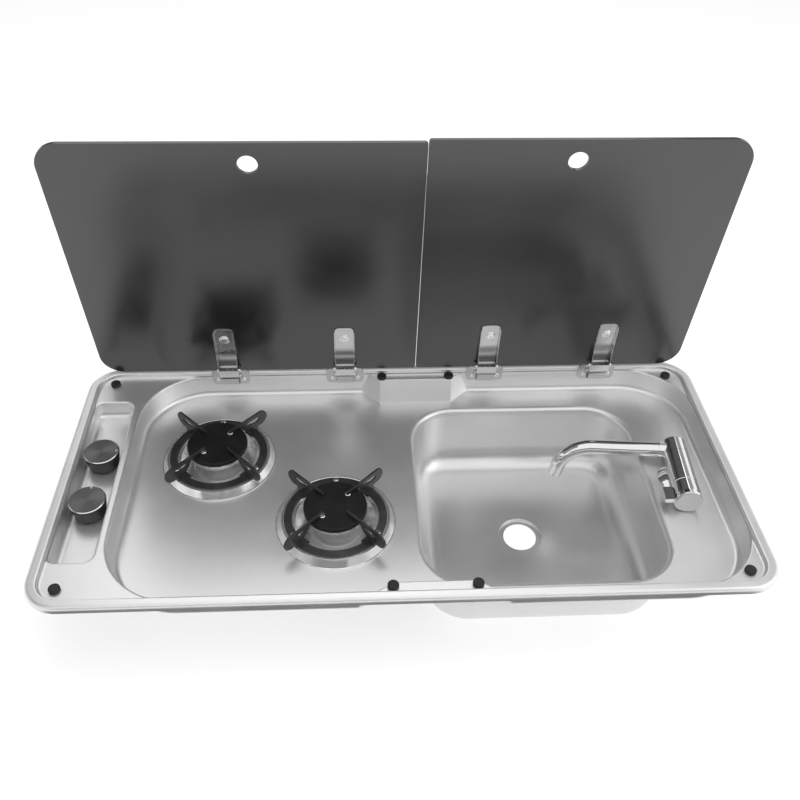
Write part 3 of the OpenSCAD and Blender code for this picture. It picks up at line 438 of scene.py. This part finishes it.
def bright_finishes():
    """Polished and plated metals by colour."""
    return [
        # The screws and the hinge steel are painted darker in their recesses: painted shade.
        bright_metal("bright_screws", (0.92, 0.92, 0.91), rough=0.16, recess=0.0007),
        bright_metal("hinge_steel", (0.50, 0.50, 0.49), rough=0.16, recess=0.0025),
        bright_metal("pin_steel", (0.82, 0.82, 0.81), rough=0.15),
        bright_metal("pipe_steel", (0.52, 0.52, 0.51), rough=0.34),
        bright_metal("brass", (0.74, 0.60, 0.36), rough=0.30),
        bright_metal("probe_brass", (0.72, 0.68, 0.58), rough=0.30),
        bright_metal("copper", (0.78, 0.46, 0.33), rough=0.28),
        chrome("tap_chrome", level=0.86, rough=0.045),
    ]


def dark_finishes():
    """Enamel, rubber, plastic and glass, and the white dot that goes on the plastic."""
    return [
        enamel("cap_enamel", level=0.009, rough=0.50, grain=1400.0, gloss=0.32),
        enamel("support_enamel", level=0.030, rough=0.38, grain=1900.0, gloss=0.5),
        rubber("seal_rubber", level=0.05, rough=0.85),
        rubber("pad_rubber", level=0.012, rough=0.55),
        moulded_black("knob_black", level=0.018),
        smoked_glass("smoked_glass"),
        paint_white("dot_white"),
    ]


def make_materials():
    """Every finish by its name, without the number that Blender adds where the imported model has
    a material of that name."""
    finishes = steel_finishes() + turned_finishes() + bright_finishes() + dark_finishes()
    return {material.name.partition(".")[0]: material for material in finishes}


# Nodes from the CAD

# Nodes with a finish of their own within their slot, by their names without rear, front, left or right
OWN_FINISH = {
    "thermocouple": "probe_brass", "push_rod": "pin_steel", "spindle": "pin_steel",
    "hinge_straps": "strap_steel",
}


def dress(node, material):
    """Gives a CAD node its material in every slot."""
    mesh = nodes[node].data
    if not mesh.materials:
        mesh.materials.append(material)
    for index in range(len(mesh.materials)):
        mesh.materials[index] = material


def dress_nodes(materials):
    """Dresses each node by its slot in the record."""
    for part in frame["record"]["subparts"]:
        kind = part["node"].partition("_")[2]
        dress(part["node"], materials[OWN_FINISH.get(kind, part["material_slot"])])


def soften(node, width):
    """Rounds a CAD node's sharp edges with modifiers; its own mesh stays as packed."""
    piece = nodes[node]
    weld = piece.modifiers.new("weld", "WELD")
    weld.merge_threshold = WELD_GAP
    flat = piece.modifiers.new("flat", "DECIMATE")
    flat.decimate_type = "DISSOLVE"
    flat.angle_limit = math.radians(FLAT_ANGLE)
    edge = piece.modifiers.new("edge", "BEVEL")
    edge.width = width
    edge.segments = 2
    edge.limit_method = "ANGLE"
    edge.angle_limit = math.radians(EDGE_ANGLE)
    edge.use_clamp_overlap = True
    edge.harden_normals = False
    shade = piece.modifiers.new("shade", "WEIGHTED_NORMAL")
    shade.keep_sharp = True
    shade.weight = 60


def soften_nodes():
    for side in ("rear", "front"):
        soften(side + "_pan_support", ENAMEL_EDGE)
    for node in ("left_hinge_straps", "right_hinge_straps", "hinge_bases"):
        soften(node, SHEET_EDGE)


# New pieces

def ring(shape, place, radius, height):
    """A ring of points about the Z axis of a place, or one point on the axis."""
    count = TURNED_SIDES if radius else 1
    turns = [2 * math.pi * step / count for step in range(count)]
    points = [Vector((radius * math.cos(turn), radius * math.sin(turn), height)) for turn in turns]
    return [shape.verts.new(place @ point) for point in points]


def join_rings(shape, lower, upper):
    """The faces between two rings: four-sided, or three-sided where a ring is one point."""
    if len(lower) + len(upper) == 2:
        return
    for step in range(TURNED_SIDES):
        after = step + 1
        loop = (lower[step % len(lower)], upper[step % len(upper)],
                upper[after % len(upper)], lower[after % len(lower)])
        shape.faces.new(tuple(dict.fromkeys(loop)))


def turned(name, outline, places, material, body, smooth=False):
    """Turns a closed outline of (radius, height) about the Z axis of each place, as one piece."""
    shape = bmesh.new()
    for place in places:
        rings = [ring(shape, place, radius, height) for radius, height in outline]
        for lower, upper in zip(rings, rings[1:] + rings[:1]):
            join_rings(shape, lower, upper)
    bmesh.ops.recalc_face_normals(shape, faces=shape.faces)
    for face in shape.faces:
        face.smooth = smooth
    mesh = bpy.data.meshes.new(name)
    shape.to_mesh(mesh)
    shape.free()
    piece = bpy.data.objects.new(name, mesh)
    bpy.context.scene.collection.objects.link(piece)
    mesh.materials.append(material)
    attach(piece, body)


def knob_dots(materials):
    """The white pointer dot on the rim of each knob."""
    leans = [math.radians(angle) for angle in (90, 70, 50, 30, 15)]
    dome = [(DOT_RADIUS * math.sin(lean), DOT_HEIGHT * math.cos(lean)) for lean in leans]
    for side, (right, back) in DOT_PLACES.items():
        x, y = KNOBS[side]
        place = Matrix.Translation((x + right, y + back, KNOB_TOP))
        turned(side + "_knob_dot", dome + [(0, DOT_HEIGHT), (0, 0)], [place],
               materials["dot_white"], side + "_turn", smooth=True)


def strap_washers(materials):
    """A dished washer round the head of each strap's screw, placed on the closed lid and opened."""
    seat = Matrix.Translation((0, *STRAP_SCREW)) @ Matrix.Rotation(math.pi, 4, "X")
    for side in ("left", "right"):
        hinge = joints[side + "_lid_hinge"]
        swing = Matrix.Rotation(math.radians(hinge["range_deg"][0]), 4, "X")
        low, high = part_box(side + "_strap_screws")
        screws = (low.x + STRAP_SCREW_HEAD, high.x - STRAP_SCREW_HEAD)
        places = [Matrix.Translation((x, *hinge["pos_m"][1:])) @ swing @ seat for x in screws]
        turned(side + "_strap_washers", WASHER_OUTLINE, places,
               materials["bright_screws"], side + "_lid")


# The studio

def seen_directly(tree):
    """1 for camera, mirror and see-through rays, 0 for the rays that light the object."""
    path = tree.nodes.new("ShaderNodeLightPath")
    seen = path.outputs["Is Camera Ray"]
    for ray in ("Is Glossy Ray", "Is Transmission Ray"):
        either = tree.nodes.new("ShaderNodeMath")
        either.operation = "MAXIMUM"
        tree.links.new(seen, either.inputs[0])
        tree.links.new(path.outputs[ray], either.inputs[1])
        seen = either.outputs[0]
    return seen


def make_world():
    """A white world that is weaker as a light than it looks."""
    world = bpy.data.worlds.new("studio")
    bpy.context.scene.world = world
    world.use_nodes = True
    tree = world.node_tree
    tree.nodes.clear()
    mix = tree.nodes.new("ShaderNodeMixShader")
    tree.links.new(seen_directly(tree), mix.inputs["Fac"])
    for socket, strength in zip(mix.inputs[1:], (WORLD_LIGHT, WORLD_SEEN)):
        white = tree.nodes.new("ShaderNodeBackground")
        white.inputs["Color"].default_value = WHITE
        white.inputs["Strength"].default_value = strength
        tree.links.new(white.outputs[0], socket)
    out = tree.nodes.new("ShaderNodeOutputWorld")
    tree.links.new(mix.outputs[0], out.inputs["Surface"])


def floor_material():
    """A white floor that stays white where it is lit and keeps the object's shadow."""
    look = Look("floor_white")
    look.tint(look.noise(look.place, scale=40.0), grey(0.84), grey(0.86))
    look.set(Roughness=0.9, Specular_IOR_Level=0.0, Emission_Color=WHITE)
    glow = look.math("MULTIPLY", seen_directly(look.tree), FLOOR_GLOW)
    look.join(glow, look.shader.inputs["Emission Strength"])
    return look.material


def card_material(name, level):
    """Matt grey paint of a card."""
    look = Look(name)
    look.tint(look.noise(look.place, scale=3.0, detail=1.0), grey(level * 0.97), grey(level * 1.03))
    look.set(Roughness=1.0, Specular_IOR_Level=0.0)
    return look.material


def card(name, x, y, z, material, camera=False, shade=False):
    """A flat sheet of the studio between two ends in each of x, y and z, of which one pair is equal.

    Reflections always see it. The camera sees it if asked, and with shade it takes and casts light
    and shadow."""
    if z[0] == z[1]:
        corners = [(x[0], y[0], z[0]), (x[1], y[0], z[0]), (x[1], y[1], z[0]), (x[0], y[1], z[0])]
    else:
        corners = [(x[0], y[0], z[0]), (x[1], y[1], z[0]), (x[1], y[1], z[1]), (x[0], y[0], z[1])]
    mesh = bpy.data.meshes.new(name)
    mesh.from_pydata(corners, [], [tuple(range(len(corners)))])
    piece = bpy.data.objects.new(name, mesh)
    bpy.context.scene.collection.objects.link(piece)
    mesh.materials.append(material)
    piece.visible_camera = camera
    piece.visible_diffuse = piece.visible_shadow = shade


def make_cards():
    """The floor, the grey cards round the object that show only in its reflections, and a near black sheet on the
    floor in front, a painted shadow for those reflections.
    """
    floor = FLOOR_LEVEL
    ends = (-FLOOR_HALF, FLOOR_HALF)
    card("floor", ends, ends, (floor, floor), floor_material(), camera=True, shade=True)
    low = floor + CARD_GAP
    card("flag_behind", (-0.42, 0.42), (0.30, 0.30), (floor, 0.22), card_material("back_grey", 0.30))
    # A painted shadow: a near black sheet lying on the floor just in front of the object, seen only in
    # reflections.
    card("painted_shadow_sheet", (-0.45, 0.45), (-0.36, -0.19), (low, low), card_material("painted_shadow_black", 0.06))
    card("room_front", (-1.1, 1.1), (-1.3, -1.3), (0.25, 0.75), card_material("room_grey", 0.30))
    card("room_right", (1.6, 1.6), (0.5, 3.2), (1.0, 3.4), card_material("right_grey", 0.72))
    card("room_left", (-1.1, -1.1), (-0.6, 1.5), (0.3, 2.2), card_material("side_grey", 0.42))


def softbox(name, place, size, watts, mirrored=True):
    """A rectangular lamp aimed at the origin, seen by reflections if it is mirrored."""
    data = bpy.data.lights.new(name, "AREA")
    data.shape = "RECTANGLE"
    data.size, data.size_y = size
    data.energy = watts
    lamp = bpy.data.objects.new(name, data)
    lamp.location = place
    lamp.rotation_euler = (-Vector(place)).to_track_quat("-Z", "Y").to_euler()
    lamp.visible_camera = False
    lamp.visible_glossy = mirrored
    bpy.context.scene.collection.objects.link(lamp)


def make_lamps():
    softbox("softbox_top", place=(0.25, -0.1, 1.7), size=(1.8, 1.4), watts=9.0, mirrored=False)
    softbox("softbox_back", place=(-0.1, 1.0, 1.5), size=(1.8, 0.8), watts=3.6)
    softbox("softbox_right", place=(1.5, -0.5, 0.9), size=(1.0, 1.2), watts=3.5)


def make_camera():
    data = bpy.data.cameras.new("camera")
    data.sensor_width = CAMERA_SENSOR
    data.lens = CAMERA_LENS
    data.shift_x, data.shift_y = CAMERA_SHIFT
    data.clip_start, data.clip_end = CAMERA_CLIP
    camera = bpy.data.objects.new("camera", data)
    camera.location = CAMERA_PLACE
    camera.rotation_mode = "XYZ"
    camera.rotation_euler = [math.radians(angle) for angle in CAMERA_TURN]
    bpy.context.scene.collection.objects.link(camera)
    bpy.context.scene.camera = camera


def main():
    bpy.context.scene.view_settings.view_transform = "Standard"
    materials = make_materials()
    dress_nodes(materials)
    soften_nodes()
    knob_dots(materials)
    strap_washers(materials)
    make_world()
    make_cards()
    make_lamps()
    make_camera()


main()
